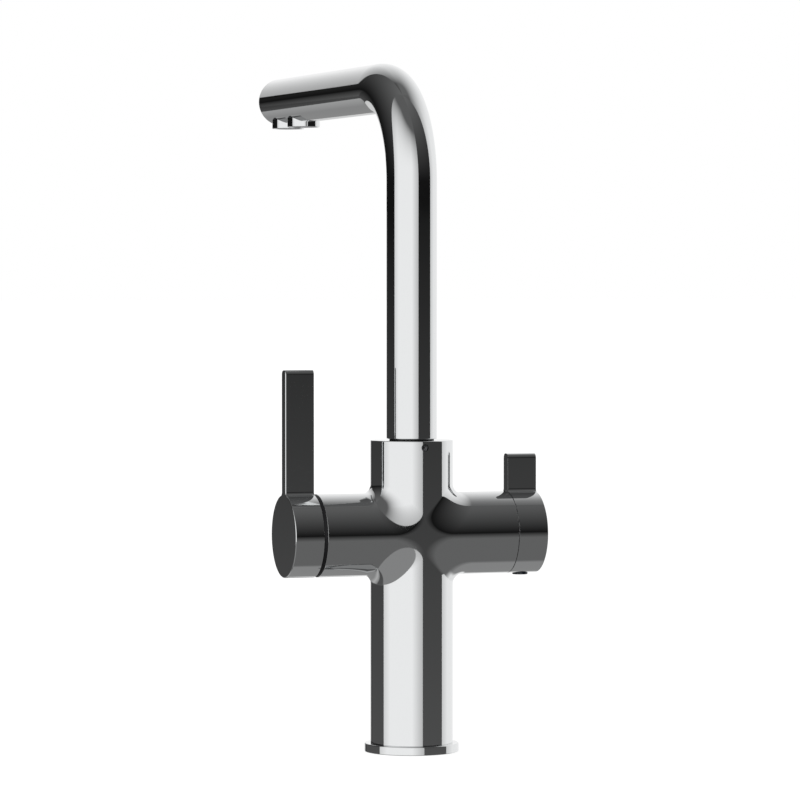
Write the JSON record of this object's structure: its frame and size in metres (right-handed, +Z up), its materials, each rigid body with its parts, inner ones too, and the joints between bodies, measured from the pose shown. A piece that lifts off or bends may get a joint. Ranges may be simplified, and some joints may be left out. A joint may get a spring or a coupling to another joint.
{
  "type": "kitchen mixer tap with drinking water filter valve",
  "caption": "Deck-mounted chrome mixer tap with a swivelling L-shaped spout, a side lever for mixed water and a quarter-turn side knob for filtered drinking water.",
  "frame": {"origin": "centre of the base, on the plane where the base ring meets the worktop", "axes": "+Z up the column, -Y along the spout towards the sink, +X along the mixer arm, -X along the filter arm"},
  "size_m": [0.133, 0.2487, 0.3475],
  "materials": {
    "chrome": "polished chrome plate on brass",
    "brass": "machined brass",
    "steel": "stainless steel",
    "rubber": "moulded rubber",
    "ceramic": null,
    "black_plastic": "moulded acetal",
    "white_plastic": "moulded acetal",
    "plug_blue": "moulded, dark blue-black"
  },
  "bodies": {
    "root": {"body": "chrome", "foot": "chrome", "base_ring": "chrome", "base_gasket": "rubber", "collar_screw": "steel", "slide_ring": "black_plastic", "filter_tube_seal": "rubber", "cartridge_seals": "rubber", "cartridge_base": "white_plastic", "fixed_disc": "ceramic", "cartridge_housing": "black_plastic", "cartridge_nut": "brass", "dome_ring": "chrome", "valve_body": "brass", "valve_washer": "rubber", "valve_seat": "rubber", "valve_fixed_disc": "ceramic"},
    "spout": {"spout_tube": "chrome", "spout_plug": "chrome", "spout_nipple": "brass", "nipple_seals": "rubber", "filter_tube": "white_plastic", "mixed_outlet": "chrome", "mixed_aerator": "white_plastic", "mixed_seal": "rubber", "filter_outlet": "chrome", "filter_insert": "white_plastic", "filter_seal": "rubber"},
    "mixer_rotor": {"cartridge_rotor": "white_plastic", "pivot_pin": "steel"},
    "mixer_lever": {"lever": "chrome", "lever_stem": "steel", "lever_screw": "steel", "lever_plug": "plug_blue"},
    "mixer_disc": {"moving_disc": "ceramic", "disc_carrier": "black_plastic"},
    "filter_knob": {"knob": "chrome", "valve_spindle": "brass", "spindle_seals": "rubber", "valve_moving_disc": "ceramic", "spindle_clip": "steel", "knob_screw": "steel", "knob_plug": "plug_blue"}
  },
  "joints": [
    {"name": "spout_swivel", "type": "hinge", "parent": "root", "child": "spout", "pos_m": [0, 0, 0.145], "axis": [0, 0, 1], "continuous": true},
    {"name": "lever_turn", "type": "hinge", "parent": "root", "child": "mixer_rotor", "pos_m": [0.045, 0, 0.1093], "axis": [1, 0, 0], "range_deg": [-45, 45]},
    {"name": "lever_lift", "type": "hinge", "parent": "mixer_rotor", "child": "mixer_lever", "pos_m": [0.045, 0, 0.1093], "axis": [0, 1, 0], "range_deg": [0, 18]},
    {"name": "disc_slide", "type": "slide", "parent": "mixer_rotor", "child": "mixer_disc", "axis": [0, 0, 1], "range_m": [0, 0.0028]},
    {"name": "filter_turn", "type": "hinge", "parent": "root", "child": "filter_knob", "pos_m": [-0.045, 0, 0.1093], "axis": [1, 0, 0], "range_deg": [0, 90]}
  ],
  "couplings": [
    {"joint": "disc_slide", "follows": "lever_lift", "m_per_rad": 0.0089}
  ]
}
